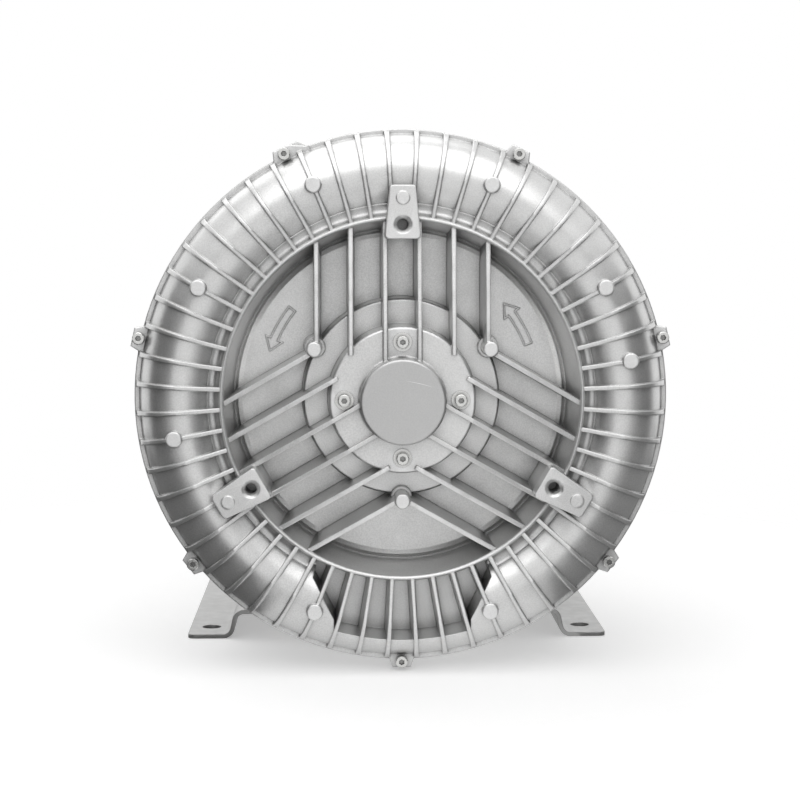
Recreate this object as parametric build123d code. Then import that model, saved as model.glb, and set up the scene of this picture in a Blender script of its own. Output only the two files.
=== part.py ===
"""Single-stage side channel blower with a foot-mounted, fan-cooled motor.

World frame: origin on the floor at the centre of the foot's bolt pattern, +Z up,
the ribbed cover faces -Y and the motor points to +Y.  The blower and motor are
modelled on their own axis first: z = 0 is the joint between cover and housing,
+z points out of the cover, +y is up.  onto_axis() then stands them on the foot.
All lengths are millimetres.
"""
import os
from math import asin, cos, radians, sin, sqrt, tan

from build123d import *

# ---------------------------------------------------------------- driving sizes
# Stance
floor_gap = 7.5              # under the castings
cover_overhang = 95.0        # cover joint in front of the foot's front edge

# Cover and housing castings
rim_width = 7.5              # joint flange, outside the channel's bore
wall = 4.0                   # casting wall round the channel
flange_depth = 8.0           # thickness of each half's joint flange
channel_radius = 155.0       # middle of the side channel
channel_bore = 23.5          # radius of the channel's round section
channel_front = 4.5          # centre of the cover's channel section
stripper_half_angle = 30.0   # half the sector where the channel is blocked
window_floor = -7.0          # floor of the pocket over the blocked sector
window_mouth = 58.0          # half width of the pocket at its inner end,
window_mouth_drop = -45.0    # this far out from the middle of the channel
window_waist = 62.0          # half width where it is widest,
window_waist_drop = -31.0    # this far out from the middle of the channel
window_throat = 47.5         # half width of the outer part,
window_throat_drop = -2.0    # from this far out
window_rim = 18.0            # left between the pocket and the castings' outside

# Dish in the middle of the cover
dish_floor = -20.0           # outside face of the dish's floor
dish_floor_wall = 5.0
blade_lead = 11.0            # front of the blades, ahead of the dish floor's inside
dish_taper = 5.7             # the floor is this much smaller in radius than the lip
dish_cove = 5.0              # round the foot of the dish's wall
lip_step = 8.3               # inside edge of the ring lip, in from the channel's bore
lip_height = 28.0
lip_width = 3.2
lip_valley = 18.5            # bottom of the cove between lip and crown
lip_valley_width = 10.0
disc_radius = 69.0           # lower step of the hub
disc_height = 4.0
hub_radius = 50.5            # upper step of the hub
hub_height = 32.5
cap_radius = 29.3            # closed nose over the shaft end
cap_height = 51.0
edge_break = 1.2

# Radial ribs of the cover
rib_count = 56
rib_top = 2.5                # thickness at the top
rib_draft = 1.6              # degrees a side
rib_stand = 2.6              # above the channel's crest
# Parallel ribs of the dish
dish_sectors = 3
dish_rib_pitch = 23.6
dish_rib_top = 2.9
dish_rib_draft = 1.0
dish_rib_rise_hub = 36.0     # top of the ribs at the hub
dish_rib_rise_wall = 25.0    # top of the ribs at the dish wall
dish_boss_radius = 5.2
dish_boss_height = 35.0
dish_boss_shift = 1.8        # outwards from where two ribs meet

# Round bosses on the radial ribs
rib_boss_radius = 5.6
rib_boss_shift = 4.0         # out from the middle of the channel
rib_boss_height = 36.0
rib_boss_spots = (1.5, 4.5, 10.5, 17.5, 23.5, 29.5, 38.5, 45.5)  # in rib pitches

# Threaded pads on the cover
pad_shift = 3.2              # threads inside the lip's edge
pad_height = 42.0
pad_inner_reach = 9.5
pad_outer_reach = 26.5
pad_inner_width = 24.5
pad_outer_width = 17.5
pad_corner = 2.6
pad_draft = 1.0
pad_thread_bore = 8.5        # tapping size of M10
pad_thread_depth = 24.0
pad_countersink = 12.6
pad_mark_radius = 4.5
pad_mark_rise = 0.5

# Raised arrows on the dish floor, bent round the shaft axis; angles in degrees
arrow_circle = 98.0
arrow_tails = (21.0, 141.5)
arrow_span = 20.5
arrow_head_span = 6.0
arrow_head_half = 7.2
arrow_shaft_half = 3.2
arrow_line = 1.0
arrow_rise = 0.7

# Lugs with the screws that close the two castings
lug_count = 7
lug_screw_shift = 1.0        # screws outside the castings' outside
lug_reach = 4.5              # from the screw out to the lug's flat
lug_outer_width = 13.0
lug_inner_width = 21.0
lug_depth = 10.0
lug_web_span = 1.6           # web beside the wide lug, in lug widths
screw_size = 5.0             # M5 socket screws
screw_head = 8.5
screw_head_height = 5.0
screw_clearance = 0.3
housing_lug_depth = 14.0     # the thread side of each lug
seal_size = 2.5              # square seal ring between the castings
seal_shift = 4.5             # seal inside the castings' outside

# Hub of the cover: screws, washers and the retainer behind the bearing
hub_screw_circle = 40.0
washer_radius = 6.5
washer_thickness = 1.2
retainer_radius = 46.0
retainer_thickness = 8.0
seal_body_radius = 26.0
spring_room = 2.5            # wave spring at its working height

# Shaft line, along the axis
shaft_seat = 38.0            # under the impeller
shaft_journal = 30.0         # in both bearings
bearing_outer = 62.0
bearing_width = 16.0
front_bearing_back = -2.0    # rear face of the bearing in the cover
ball_size = 8.6
ball_count = 8
thread_radius = 17.0         # lock nut thread and front seal journal
nut_radius = 26.0
nut_width = 9.0
shoulder_radius = 24.0       # collar behind the impeller
rear_seal_journal = 20.0
rear_seal_radius = 30.0
core_seat = 21.0             # under the rotor core
fan_seat = 12.0              # under the fan
key_width = 10.0
key_rise = 4.0               # above and below the seat
fit_gap = 0.05               # running clearance on radius
free_gap = 0.35              # between parts that turn and parts that don't

# Impeller
impeller_gap = 1.0           # to the castings, all round
impeller_width = 30.0
blade_count = 40
blade_thickness = 2.2
web_thickness = 4.5
hub_length = 30.0
impeller_hub_radius = 34.0
blade_ring = 5.0             # ring at the root of the blades
hub_recess = 1.5             # hub face behind the dish floor's inside

# Silencer tubes and ports under the motor
tube_spread = 80.0           # each side of the middle
tube_shift = 14.0            # nearer to the shaft than the middle of the channel
tube_outer = 33.5
tube_wall = 4.5
tube_length = 166.0
tube_closed_end = 6.0        # behind the crest of the rear channel
port_passage = 14.0          # opening from the channel into each tube
foam_bore = 19.0
foam_chamber = 30.0          # open room in front of the foam
foam_end_gap = 4.0
port_thread_bore = 56.7      # tapping size of G 2
port_flange_depth = 24.0
port_flange_radius = 46.0
port_flange_thickness = 10.0
port_screw_length = 20.0
port_collar = 5.0            # wall of the threaded collar
port_screw_circle = 39.5
port_screw_count = 4
gasket = 1.5
bolt_size = 8.0              # tie bolts and foot screws

# Motor
motor_front = -100.0         # where the motor housing meets the blower housing
motor_length = 150.0
stator_radius = 68.0
motor_wall = 6.0
motor_ring = 12.0            # thickness of the ring that carries the motor
fin_height = 15.0
fin_thickness = 3.0
fin_count = 40
rotor_radius = 39.0
air_gap = 0.6
core_length = 100.0
slot_count = 24
slot_width = 6.0
slot_reach = 60.0            # outer end of the stator slots
slot_lip = 3.0               # iron between slots and bore
coil_head = 18.0
bolt_circle = 80.0
shield_depth = 20.0
shield_wall = 4.0            # behind the rear bearing
fan_depth = 26.0
cowl_length = 84.0
cowl_overlap = 10.0          # over the ends of the fins
cowl_screw_size = 5.0
cowl_screw_length = 6.0
cowl_sheet = 1.5
fan_radius = 74.0
fan_blades = 8

# Terminal box
box_length = 112.0
box_width = 96.0
box_height = 36.0
box_wall = 4.0
lid_height = 14.0
box_gap = 1.5                # gasket thickness
entry_radius = 10.0
gland_bore = 5.5

# Foot, one pressed hat section
foot_width = 320.0
foot_length = 264.0
foot_sheet = 3.2
foot_rise = 22.0             # top of the platform
foot_flange = 33.0           # from the outer edge to the start of the bend
foot_hole = 14.5
foot_hole_edge = 28.0        # from the front and rear edges
foot_hole_side = 16.5        # from the outer edges
foot_bend = 6.0              # inside radius
foot_screw_length = 8.5
foot_boss = 26.0             # square bosses under the silencer tubes
foot_lean = 4.0              # how far each riser leans in

# ---------------------------------------------------------------- derived sizes
foot_holes_x = foot_width - 2 * foot_hole_side
foot_holes_y = foot_length - 2 * foot_hole_edge
joint_y = -foot_length / 2 - cover_overhang
channel_inner = channel_radius - channel_bore
channel_outer = channel_radius + channel_bore
rim_radius = channel_outer + rim_width
axis_height = rim_radius + floor_gap
lip_radius = channel_inner - lip_step
dish_radius = lip_radius - dish_taper
window_outer = rim_radius - window_rim
rib_boss_circle = channel_radius + rib_boss_shift
pad_circle = lip_radius - pad_shift
lug_screw_circle = rim_radius + lug_screw_shift
seal_circle = rim_radius - seal_shift
tube_circle = channel_radius - tube_shift
rib_pitch = 360.0 / rib_count
crest = channel_front + channel_bore + wall
impeller_front = dish_floor - dish_floor_wall + blade_lead
impeller_back = impeller_front - impeller_width
impeller_middle = (impeller_front + impeller_back) / 2
channel_rear = 2 * impeller_middle - channel_front
rear_crest = channel_rear - channel_bore - wall
core_radius = lip_radius - 0.7
motor_back = motor_front - motor_length
frame_radius = stator_radius + motor_wall
cowl_radius = frame_radius + fin_height + 3.0
tube_drop = -sqrt(tube_circle ** 2 - tube_spread ** 2)
tube_front = rear_crest - tube_closed_end
tube_end = tube_front - tube_length
blade_root = channel_inner
impeller_tip = channel_outer - impeller_gap
hub_front = dish_floor - dish_floor_wall - hub_recess
hub_back = hub_front - hub_length
web_low = hub_back - 20.0
rear_bearing_low = motor_back - shield_depth + shield_wall
fan_low = motor_back - shield_depth - 6.0 - fan_depth
shaft_tail = fan_low - 6.0
box_middle = motor_front - box_length / 2 - 4.0
box_seat = frame_radius + fin_height + 1.0

AXIS = Plane(origin=(0, joint_y, axis_height), x_dir=(1, 0, 0), z_dir=(0, -1, 0))


# ---------------------------------------------------------------- small helpers
def onto_axis(shape):
    """Move a shape from the shaft's own frame to the world frame."""
    return AXIS.location * shape


def box2d(r_low, r_high, z_low, z_high):
    """Rectangle of a turned section."""
    middle = Pos((r_low + r_high) / 2, (z_low + z_high) / 2)
    return middle * Rectangle(r_high - r_low, z_high - z_low)


def outline(*points):
    """Closed straight-sided section."""
    return make_face(Polyline(*points, close=True))


def turned(section, start=0.0, arc=360.0):
    """Revolve a section (radius, height) about the axis from a start angle."""
    return Rot(0, 0, start) * revolve(Plane.XZ * section, Axis.Z, arc)


def disc(radius, z_low, z_high, x=0.0, y=0.0):
    """Plain round bar between two heights."""
    height = z_high - z_low
    return Pos(x, y, z_low) * Cylinder(radius, height, align=(Align.CENTER, Align.CENTER, Align.MIN))


def tube(r_in, r_out, z_low, z_high, x=0.0, y=0.0):
    """Plain sleeve between two heights."""
    return disc(r_out, z_low, z_high, x, y) - disc(r_in, z_low - 1, z_high + 1, x, y)


def around(count, radius=0.0, start=0.0):
    """Locations evenly spaced on a circle, each turned to face outwards."""
    return [Rot(0, 0, start + n * 360.0 / count) * Pos(radius, 0, 0) for n in range(count)]


def together(shapes):
    """Fuse many shapes in one step."""
    solids = [solid for shape in shapes for solid in shape.solids()]
    joined = solids[0].fuse(*solids[1:])
    return Compound(list(joined)) if isinstance(joined, ShapeList) else joined


def tapered_bar(length, top, draft, z_low, z_high):
    """Rib blank along +X from the origin, thicker towards its foot."""
    foot = top + 2 * (z_high - z_low) * tan(radians(draft))
    section = outline((-foot / 2, z_low), (foot / 2, z_low), (top / 2, z_high), (-top / 2, z_high))
    return extrude(Plane.YZ * section, length)


def socket_screw(length, size=screw_size, head=screw_head, head_height=screw_head_height):
    """Socket head screw, underside of the head at z = 0, shank towards -z."""
    body = disc(head / 2, 0, head_height) + disc(size / 2, -length, 0)
    socket = extrude(RegularPolygon(head / 4, 6), head_height)
    head_rim = body.edges().filter_by(GeomType.CIRCLE).sort_by(Axis.Z)[-1]
    return chamfer(head_rim, head / 20) - Pos(0, 0, head_height / 2) * socket


def hex_screw(length, size, head_height):
    """Hexagon screw, underside of the head at z = 0, shank towards -z."""
    return extrude(RegularPolygon(size * 0.95, 6), head_height) + disc(size / 2, -length, 0)


# ---------------------------------------------------------------- front cover
def channel_section(centre, face):
    """Side channel section: a round crown on straight sides down to the impeller's face."""
    low, high = sorted((centre, face))
    return Pos(channel_radius, centre) * Circle(channel_bore) + box2d(
        channel_inner, channel_outer, low, high)


def cover_section():
    """Half section of the cover casting without its channel."""
    lip_outer = lip_radius + lip_width
    crown = Pos(channel_radius, channel_front) * Circle(channel_bore + wall)
    crown -= box2d(0, 2 * channel_radius, -channel_bore - wall, 0)
    flange = box2d(channel_inner, rim_radius, 0, flange_depth)
    dish_wall = outline(
        (dish_radius, dish_floor - dish_floor_wall), (core_radius, dish_floor - dish_floor_wall),
        (core_radius, impeller_front + impeller_gap), (channel_inner, impeller_front + impeller_gap),
        (channel_inner, channel_front), (lip_outer, channel_front),
        (lip_outer, lip_height - edge_break), (lip_outer - edge_break, lip_height),
        (lip_radius + edge_break, lip_height), (lip_radius, lip_height - edge_break),
        (dish_radius, dish_floor))
    floor = box2d(0, dish_radius, dish_floor - dish_floor_wall, dish_floor)
    floor += outline((dish_radius - dish_cove, dish_floor - 1), (dish_radius + 1, dish_floor - 1),
                     (dish_radius + 1, dish_floor + dish_cove), (dish_radius, dish_floor + dish_cove),
                     (dish_radius - dish_cove / 3, dish_floor + dish_cove / 3),
                     (dish_radius - dish_cove, dish_floor))
    return crown + flange + dish_wall + floor + lip_cove()


def lip_cove():
    """Rounded valley between the lip and the crown of the channel."""
    inner = lip_radius + lip_width / 2
    start = (lip_radius + lip_width, lip_valley + 4)
    middle = (lip_radius + lip_width + lip_valley_width / 2.6, lip_valley)
    rise = sqrt((channel_bore + wall - 1) ** 2 - (channel_radius - start[0] - lip_valley_width) ** 2)
    end = (start[0] + lip_valley_width, channel_front + rise)
    edge = (Polyline((inner, start[1]), start) + ThreePointArc(start, middle, end)
            + Polyline(end, (end[0], channel_front + 8), (inner, channel_front + 8), (inner, start[1])))
    return make_face(edge)


def hub_section():
    """Half section of the stepped hub with its closed nose."""
    foot = dish_floor - 1
    return outline(
        (0, foot), (disc_radius + edge_break, foot), (disc_radius, disc_height - edge_break),
        (disc_radius - edge_break, disc_height), (hub_radius + edge_break, disc_height),
        (hub_radius, hub_height - edge_break), (hub_radius - edge_break, hub_height),
        (cap_radius + edge_break, hub_height), (cap_radius, hub_height + edge_break),
        (cap_radius, cap_height - edge_break), (cap_radius - edge_break, cap_height),
        (0, cap_height))


def rib_ring():
    """Ring that the radial ribs are cut from: its crown is their top edge."""
    reach = channel_bore + wall + rib_stand
    root = channel_bore + wall / 2
    lean = cos(radians(45))
    top = channel_front + reach
    outer = channel_radius + reach
    foot = channel_front + 1
    start = (lip_radius + lip_width / 2, lip_height - 0.6)
    line = (
        Line(start, (channel_radius, top))
        + ThreePointArc((channel_radius, top),
                        (channel_radius + reach * lean, channel_front + reach * lean),
                        (outer, channel_front))
        + Polyline((outer, channel_front), (outer, 1), (channel_outer + wall / 2, 1),
                   (channel_radius + root, foot))
        + ThreePointArc((channel_radius + root, foot),
                        (channel_radius, foot + root - 1), (channel_radius - root, foot))
        + Line((channel_radius - root, foot), start)
    )
    return turned(make_face(line))


def window_rib_ring():
    """Deeper rib ring for the ribs that cross the blocked sector."""
    reach = channel_bore + wall + rib_stand
    lean = cos(radians(45))
    top = channel_front + reach
    outer = channel_radius + reach
    foot = window_floor - 1
    start = (lip_radius + lip_width / 2, lip_height - 0.6)
    line = (
        Line(start, (channel_radius, top))
        + ThreePointArc((channel_radius, top),
                        (channel_radius + reach * lean, channel_front + reach * lean),
                        (outer, channel_front))
        + Polyline((outer, channel_front), (outer, 1), (channel_outer, 1), (channel_outer, foot),
                   (channel_inner, foot), start)
    )
    return turned(make_face(line), -90 - 4 * rib_pitch, 8 * rib_pitch)


def radial_ribs():
    """Ribs over the channel, straddling the upright and level lines."""
    length = rim_radius - lip_radius
    crown = channel_front + channel_bore + wall + rib_stand
    blank = Pos(lip_radius, 0, 0) * tapered_bar(length, rib_top, rib_draft, window_floor - 2, crown)
    blanks = Compound([Rot(0, 0, (n + 0.5) * rib_pitch) * blank for n in range(rib_count)])
    ring = rib_ring() + window_rib_ring()
    return ring.intersect(blanks)


def rib_bosses():
    """Round bosses standing on eight of the radial ribs."""
    blank = disc(rib_boss_radius, channel_front + channel_bore + wall / 2, rib_boss_height)
    blank = chamfer(blank.edges().filter_by(GeomType.CIRCLE).sort_by(Axis.Z)[-1], edge_break / 2)
    return [Rot(0, 0, spot * rib_pitch) * Pos(rib_boss_circle, 0, 0) * blank for spot in rib_boss_spots]


def dish_rib_offsets():
    """Offsets of one sector's ribs from the sector's middle line."""
    return [(n + 0.5) * dish_rib_pitch for n in range(3)]


def dish_ribs():
    """Three fans of six parallel ribs between the hub and the dish wall."""
    near, middle, far = dish_rib_offsets()
    inner_ends = {near: cap_radius - 1, middle: hub_radius - 3.5, far: far / cos(radians(30))}
    blanks = []
    for offset, end_radius in inner_ends.items():
        start = sqrt(end_radius ** 2 - offset ** 2)
        length = sqrt((lip_radius + 1) ** 2 - offset ** 2) - start
        bar = tapered_bar(length, dish_rib_top, dish_rib_draft, dish_floor - 1, dish_rib_rise_hub)
        for side in (1, -1):
            placed = Pos(start, side * offset, 0) * bar
            blanks += [Rot(0, 0, 90 + n * 360 / dish_sectors) * placed for n in range(dish_sectors)]
    under = turned(outline(
        (0, dish_floor - 1), (dish_radius + 1, dish_floor - 1), (lip_radius + 1, dish_rib_rise_wall),
        (hub_radius, dish_rib_rise_hub), (0, dish_rib_rise_hub)))
    return under.intersect(Compound(blanks))


def dish_bosses():
    """Stepped bosses where the outer ribs of two sectors meet."""
    circle = dish_rib_offsets()[-1] / cos(radians(30)) + dish_boss_shift
    step = disc_height + 6
    blank = turned(outline(
        (0, dish_floor - 1), (dish_boss_radius + 3, dish_floor - 1), (dish_boss_radius + 2, step),
        (dish_boss_radius, step), (dish_boss_radius, dish_boss_height - edge_break / 2),
        (dish_boss_radius - edge_break / 2, dish_boss_height), (0, dish_boss_height)))
    start = 90 + 180 / dish_sectors
    return [Rot(0, 0, start + n * 360 / dish_sectors) * Pos(circle, 0, 0) * blank
            for n in range(dish_sectors)]


def pad_blank():
    """One threaded pad, pointing along +X, with its column down to the dish floor."""
    low = pad_circle - pad_inner_reach
    high = pad_circle + pad_outer_reach
    plan = outline((low, -pad_inner_width / 2), (high, -pad_outer_width / 2),
                   (high, pad_outer_width / 2), (low, pad_inner_width / 2))
    plan = fillet(plan.vertices(), pad_corner)
    depth = pad_height - crest + rib_stand + wall
    head = extrude(Pos(0, 0, pad_height) * plan, -depth, taper=-pad_draft)
    column = tapered_bar(lip_radius - low, pad_inner_width - 2 * pad_corner, pad_draft,
                         dish_floor - 1, pad_height - 2)
    mark = disc(pad_mark_radius, pad_height - 1, pad_height + pad_mark_rise, high - 8.5)
    return head + Pos(low + 0.4, 0, 0) * column + mark


def pad_holes():
    """Countersunk thread holes in the pads."""
    rim = pad_countersink / 2
    bore = pad_thread_bore / 2
    hole = turned(outline(
        (0, pad_height - pad_thread_depth), (bore, pad_height - pad_thread_depth),
        (bore, pad_height - (rim - bore)), (rim, pad_height), (rim, pad_height + 1),
        (0, pad_height + 1)))
    return [place * hole for place in around(dish_sectors, pad_circle, 90)]


def lug(depth):
    """One closing lug, pointing along +X, between z = 0 and its depth."""
    root = channel_outer + wall / 2
    reach = lug_screw_circle + lug_reach
    plan = outline((root, -lug_inner_width / 2), (reach, -lug_outer_width / 2),
                   (reach, lug_outer_width / 2), (root, lug_inner_width / 2))
    return extrude(plan, depth)


def lug_places():
    """Turns that bring a lug from +X to its place; one lug sits at the bottom."""
    return [Rot(0, 0, -90 + n * 360 / lug_count) for n in range(lug_count)]


def wide_lug(depth):
    """The lug at the upper left, carried on to the next rib as a web."""
    turn = -90 + 4 * 360 / lug_count
    inner = channel_outer + wall / 2
    outer = lug_screw_circle + lug_reach
    span = asin(lug_inner_width / 2 / rim_radius)
    far = -lug_web_span * span
    points = [(outer, 0.0), (outer, -span / 2), (rim_radius, far), (inner, far), (inner, 0.0)]
    return extrude(Rot(0, 0, turn) * outline(*[(r * cos(a), r * sin(a)) for r, a in points]), depth)


def window_pocket():
    """Pocket over the blocked sector, between the two ends of the channel's bulge."""
    near = lip_radius + lip_width + 1
    half = [(window_mouth, -channel_radius - window_mouth_drop),
            (window_waist, -channel_radius - window_waist_drop),
            (window_throat, -channel_radius - window_throat_drop), (window_throat, -window_outer)]
    plan = outline(*[(-x, y) for x, y in half], *reversed(half))
    plan &= Circle(window_outer) - Circle(near)
    return Pos(0, 0, window_floor) * extrude(plan, crest + rib_stand - window_floor)


def window_bead():
    """Rounded bead along the outer edge of the blocked sector."""
    radius = 2.6
    circle = rim_radius - 12.5
    height = flange_depth + 5.0
    reach = stripper_half_angle + 1.5
    section = Pos(circle, height) * Circle(radius) + box2d(circle - radius, circle + radius, 2, height)
    bead = turned(section, -90 - reach, 2 * reach)
    ends = [Rot(0, 0, -90 + side * reach) * Pos(circle, 0, 0)
            * (disc(radius, 2, height) + Pos(0, 0, height) * Sphere(radius)) for side in (1, -1)]
    return [bead] + ends


def arrow_outline(tail):
    """Raised line arrow on the dish floor, bent round the axis from its tail's angle."""
    neck = arrow_span - arrow_head_span
    wedge_reach = 2 * arrow_circle
    wedge = outline((0, 0), (wedge_reach, 0),
                    (wedge_reach * cos(radians(neck)), wedge_reach * sin(radians(neck))))
    shaft_plan = Circle(arrow_circle + arrow_shaft_half) - Circle(arrow_circle - arrow_shaft_half)
    head = [(arrow_circle - arrow_head_half, neck), (arrow_circle + arrow_head_half, neck),
            (arrow_circle, arrow_span)]
    plan = (shaft_plan & wedge) + outline(*[(r * cos(radians(a)), r * sin(radians(a))) for r, a in head])
    band = plan - offset(plan, -arrow_line, kind=Kind.INTERSECTION)
    return Pos(0, 0, dish_floor) * Rot(0, 0, tail) * extrude(band, arrow_rise)


def front_cover():
    """Ribbed cover casting: side channel, dish, hub, pads and lugs."""
    start = -90 + stripper_half_angle
    arc = 360 - 2 * stripper_half_angle
    face = impeller_front + impeller_gap
    fill = Pos(channel_radius, channel_front) * Circle(channel_bore)
    fill -= box2d(channel_inner, channel_outer, -channel_bore, 0)
    fill += box2d(channel_inner, channel_outer - free_gap, face, 0)
    fill += box2d(channel_inner, channel_outer, 0, channel_front)
    body = turned(cover_section() + fill) - window_pocket()
    pads = [place * pad_blank() for place in around(dish_sectors, 0, 90)]
    lugs = [place * lug(lug_depth) for place in lug_places()]
    body = together([body, *radial_ribs()])
    body = together([body, turned(hub_section()), *dish_ribs()])
    body = together([body, *window_bead(), *dish_bosses(), *rib_bosses(), *pads, *lugs, wide_lug(lug_depth),
                     *[arrow_outline(tail) for tail in arrow_tails]])
    channel = turned(channel_section(channel_front, impeller_front), start, arc)
    holes = cover_screw_holes(-1, lug_depth + 1, screw_clearance)
    return body - Compound([channel, *pad_holes(), *hub_pockets(), *holes])


def cover_screw_holes(z_low, z_high, clearance):
    """Holes for the screws that close the two castings."""
    return [place * disc(screw_size / 2 + clearance, z_low, z_high, lug_screw_circle)
            for place in lug_places()]


def hub_pockets():
    """Inside of the hub: retainer seat, bearing bore, room for the shaft end, screw holes."""
    inside = dish_floor - dish_floor_wall
    seat = front_bearing_back
    bore_end = seat + bearing_width + spring_room
    cavity_end = cap_height - dish_floor_wall
    pockets = [
        disc(retainer_radius + fit_gap, inside - 1, seat),
        disc(bearing_outer / 2, seat - 1, bore_end),
        disc(cap_radius - dish_floor_wall, bore_end - 1, cavity_end),
    ]
    return pockets + [place * disc(screw_size / 2 + screw_clearance, seat - 1, hub_height + 1)
                      for place in around(4, hub_screw_circle)]


# ---------------------------------------------------------------- closing parts
def cover_seal():
    """Square-section seal ring laid in the housing's joint face."""
    return tube(seal_circle - seal_size / 2, seal_circle + seal_size / 2, -seal_size, 0)


def cover_screws():
    """Seven socket screws that close the castings."""
    length = lug_depth + housing_lug_depth - 3
    return Compound([place * Pos(lug_screw_circle, 0, lug_depth) * socket_screw(length)
                     for place in lug_places()])


def hub_screws():
    """Four socket screws that pull the bearing retainer against the hub."""
    length = hub_height + washer_thickness - front_bearing_back + retainer_thickness - 1
    return Compound([place * Pos(0, 0, hub_height + washer_thickness) * socket_screw(length)
                     for place in around(4, hub_screw_circle)])


def hub_washers():
    """Washers under the four hub screws."""
    ring = tube(screw_size / 2 + screw_clearance, washer_radius, hub_height, hub_height + washer_thickness)
    return Compound([place * ring for place in around(4, hub_screw_circle)])


def bearing_retainer():
    """Plate behind the outboard bearing; the shaft seal sits in its middle."""
    low = front_bearing_back - retainer_thickness
    plate = disc(retainer_radius, low, front_bearing_back)
    plate -= disc(seal_body_radius, low - 1, front_bearing_back - 1.5)
    plate -= disc(seal_body_radius - 2, low, front_bearing_back + 1)
    holes = [place * disc(screw_size / 2, low - 1, front_bearing_back + 1)
             for place in around(4, hub_screw_circle)]
    return plate - Compound(holes)


def wave_spring():
    """Ring spring that loads the outboard bearing, drawn at its working height."""
    low = front_bearing_back + bearing_width
    return tube(bearing_outer / 2 - 5, bearing_outer / 2 - 0.5, low, low + spring_room)


def lip_seal(journal, body_radius, low, width):
    """Shaft seal: metal-cased ring with a sprung lip on the shaft."""
    bore = journal + fit_gap
    lip = bore + 2.2
    return turned(outline(
        (bore, low + width / 2), (lip, low), (body_radius, low), (body_radius, low + width),
        (body_radius - 2, low + width), (body_radius - 2, low + 2), (lip + 1.5, low + 2),
        (lip + 0.5, low + width - 1), (bore + 1, low + width - 1)))


# ---------------------------------------------------------------- bearings
def bearing_parts(low):
    """Deep-groove bearing from its lower face: outer ring, inner ring, balls with cage."""
    outer = bearing_outer / 2
    inner = shaft_journal / 2
    pitch = (outer + inner) / 2
    shoulder = ball_size / 4
    middle = low + bearing_width / 2
    groove = turned(Pos(pitch, middle) * Circle(ball_size / 2 + free_gap))
    outer_ring = tube(pitch + shoulder, outer, low, low + bearing_width) - groove
    inner_ring = tube(inner, pitch - shoulder, low, low + bearing_width) - groove
    cage_half = ball_size / 2 + 1.2
    cage = tube(pitch - shoulder / 2, pitch + shoulder / 2, middle - cage_half, middle + cage_half)
    balls = [Rot(0, 0, n * 360 / ball_count) * Pos(pitch, 0, middle) * Sphere(ball_size / 2)
             for n in range(ball_count)]
    return outer_ring, inner_ring, together([cage, *balls])


# ---------------------------------------------------------------- rotor
def impeller_section():
    """Half section: hub, web and the ring that carries the blades."""
    web_back = impeller_middle - web_thickness / 2
    web_front = impeller_middle + web_thickness / 2
    ring = box2d(blade_root - blade_ring, blade_root, impeller_back, impeller_front)
    web = box2d(shaft_seat / 2, impeller_tip, web_back, web_front)
    hub = box2d(shaft_seat / 2, impeller_hub_radius, hub_back, hub_front)
    return ring + web + hub


def impeller():
    """Disc with blade pockets on both faces, keyed to the shaft."""
    body = turned(impeller_section())
    length = impeller_tip - blade_root + 1
    blade = Pos(blade_root - 1 + length / 2, 0, impeller_middle) * Box(length, blade_thickness, impeller_width)
    blades = [Rot(0, 0, n * 360 / blade_count) * blade for n in range(blade_count)]
    rounding = turned(box2d(blade_root - 2, impeller_tip, impeller_back, impeller_front)
                      & Pos(channel_radius, impeller_middle) * Circle(channel_bore + 1.5))
    body = together([body, *[rounding & b for b in blades]])
    key_slot = Pos(shaft_seat / 2, 0, (hub_front + hub_back) / 2) * Box(2 * key_rise, key_width, hub_length + 2)
    return body - key_slot


def impeller_key():
    """Parallel key, half in the shaft and half in the impeller."""
    return Pos(shaft_seat / 2, 0, (hub_front + hub_back) / 2) * Box(2 * key_rise, key_width, hub_length - 4)


def impeller_nut():
    """Slotted lock nut that clamps the impeller against the shaft's shoulder."""
    nut = tube(thread_radius, nut_radius, hub_front, hub_front + nut_width)
    slots = [place * Pos(nut_radius, 0, hub_front + nut_width / 2) * Box(5, 6, nut_width + 2)
             for place in around(4)]
    return nut - Compound(slots)


def shaft():
    """Stepped shaft from the outboard bearing to the cooling fan."""
    journal = shaft_journal / 2
    top = front_bearing_back + bearing_width + 3
    steps = [
        (journal - 1, top, top),
        (journal, top - 1, front_bearing_back - 1),
        (thread_radius, front_bearing_back - 1, hub_front),
        (shaft_seat / 2, hub_front, hub_back),
        (shoulder_radius, hub_back, hub_back - 6),
        (rear_seal_journal, hub_back - 6, motor_front),
        (core_seat, motor_front, rear_bearing_low + bearing_width),
        (journal, rear_bearing_low + bearing_width, rear_bearing_low),
        (fan_seat, rear_bearing_low, shaft_tail + 1),
        (fan_seat - 1, shaft_tail, shaft_tail),
    ]
    points = [(0, top)]
    for radius, high, low in steps:
        points += [(radius, high)] if high == low else [(radius, high), (radius, low)]
    bar = turned(outline(*points, (0, shaft_tail)))
    return bar - impeller_key()


def rotor_core():
    """Laminated rotor with its two cast end rings."""
    low, high = core_span()
    core = tube(core_seat, rotor_radius, low, high)
    rings = [tube(rotor_radius - 12, rotor_radius - 1, low - 9, low),
             tube(rotor_radius - 12, rotor_radius - 1, high, high + 9)]
    return together([core, *rings])


def cooling_fan():
    """Radial fan on the tail of the shaft, blades on the motor side of its plate."""
    low = fan_low
    hub = tube(fan_seat, fan_seat + 7, low, low + fan_depth)
    plate = tube(fan_seat + 6, fan_radius, low, low + 2.5)
    start = fan_seat + 5
    end = fan_radius - 1
    blade = Pos((start + end) / 2, 0, low + fan_depth / 2) * Box(end - start, 2.5, fan_depth - 1)
    blades = [Rot(0, 0, n * 360 / fan_blades) * blade for n in range(fan_blades)]
    return together([hub, plate, *blades])


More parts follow.
